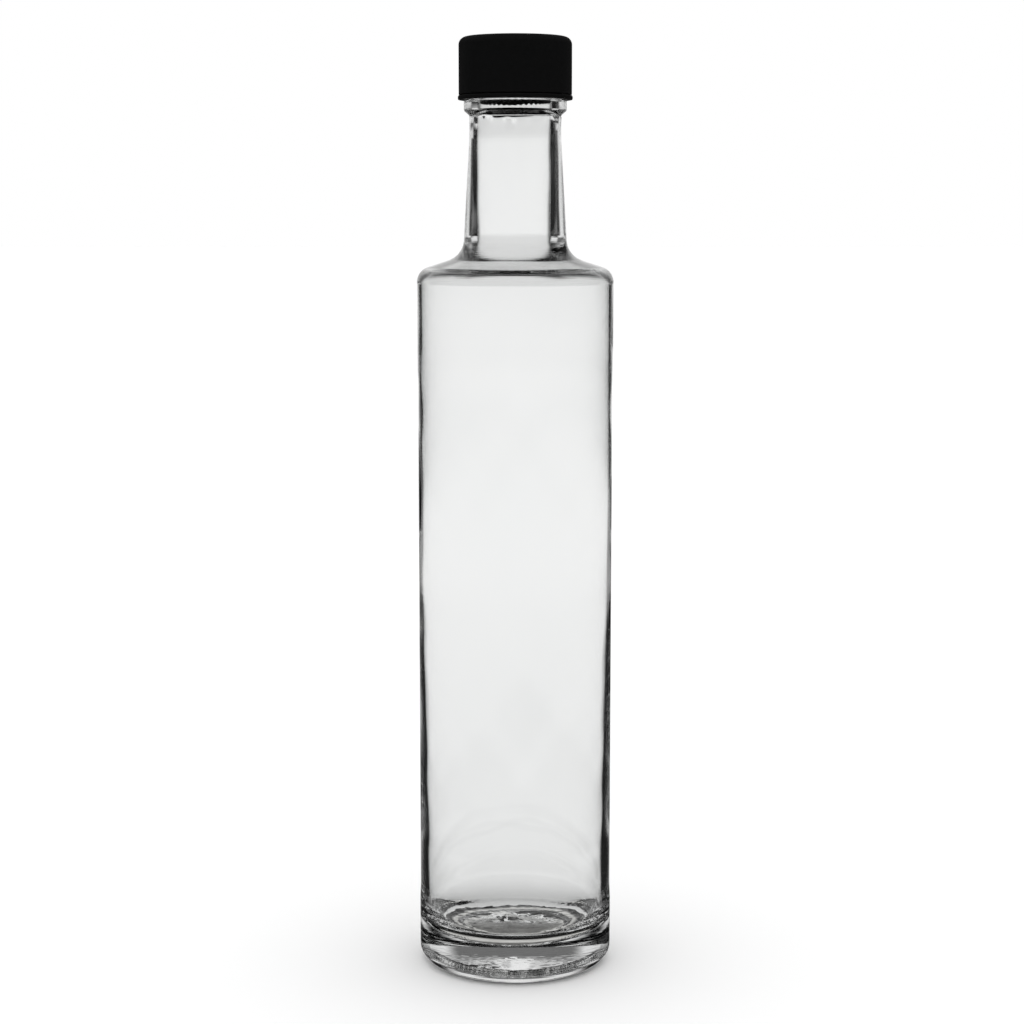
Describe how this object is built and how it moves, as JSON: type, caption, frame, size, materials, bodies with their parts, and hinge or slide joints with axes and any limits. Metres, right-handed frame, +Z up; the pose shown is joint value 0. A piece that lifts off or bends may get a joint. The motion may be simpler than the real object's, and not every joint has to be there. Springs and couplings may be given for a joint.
{
  "type": "glass oil bottle",
  "caption": "Tall round clear-glass oil bottle with a long neck, a black pourer insert and a black screw cap over a loose tamper ring.",
  "frame": {"origin": "centre of the ring that the bottle stands on, at the height of the surface under it", "axes": "+Z up along the bottle's axis, from the base to the cap; X and Y are equal, because the bottle is round"},
  "size_m": [0.0606, 0.0606, 0.289],
  "materials": {
    "clear_glass": "clear, polished, colourless container glass",
    "black_plastic": "satin black moulded plastic",
    "liner_foam": "white fine-celled foam"
  },
  "bodies": {
    "bottle": {"glass_bottle": "clear_glass", "pourer_insert": "black_plastic"},
    "ring": {"tamper_ring": "black_plastic"},
    "liner": {"cap_liner": "liner_foam"},
    "cap": {"screw_cap": "black_plastic"}
  },
  "joints": [
    {"name": "cap_lift", "type": "slide", "parent": "bottle", "child": "liner", "axis": [0, 0, 1], "range_m": [0, 0.0216]},
    {"name": "cap_turn", "type": "hinge", "parent": "liner", "child": "cap", "pos_m": [0, 0, 0.28], "axis": [0, 0, 1], "range_deg": [0, 2160]},
    {"name": "ring_spin", "type": "hinge", "parent": "bottle", "child": "ring", "pos_m": [0, 0, 0.2708], "axis": [0, 0, 1], "continuous": true}
  ],
  "couplings": [
    {"joint": "cap_lift", "follows": "cap_turn", "m_per_rad": 0.00057295}
  ]
}
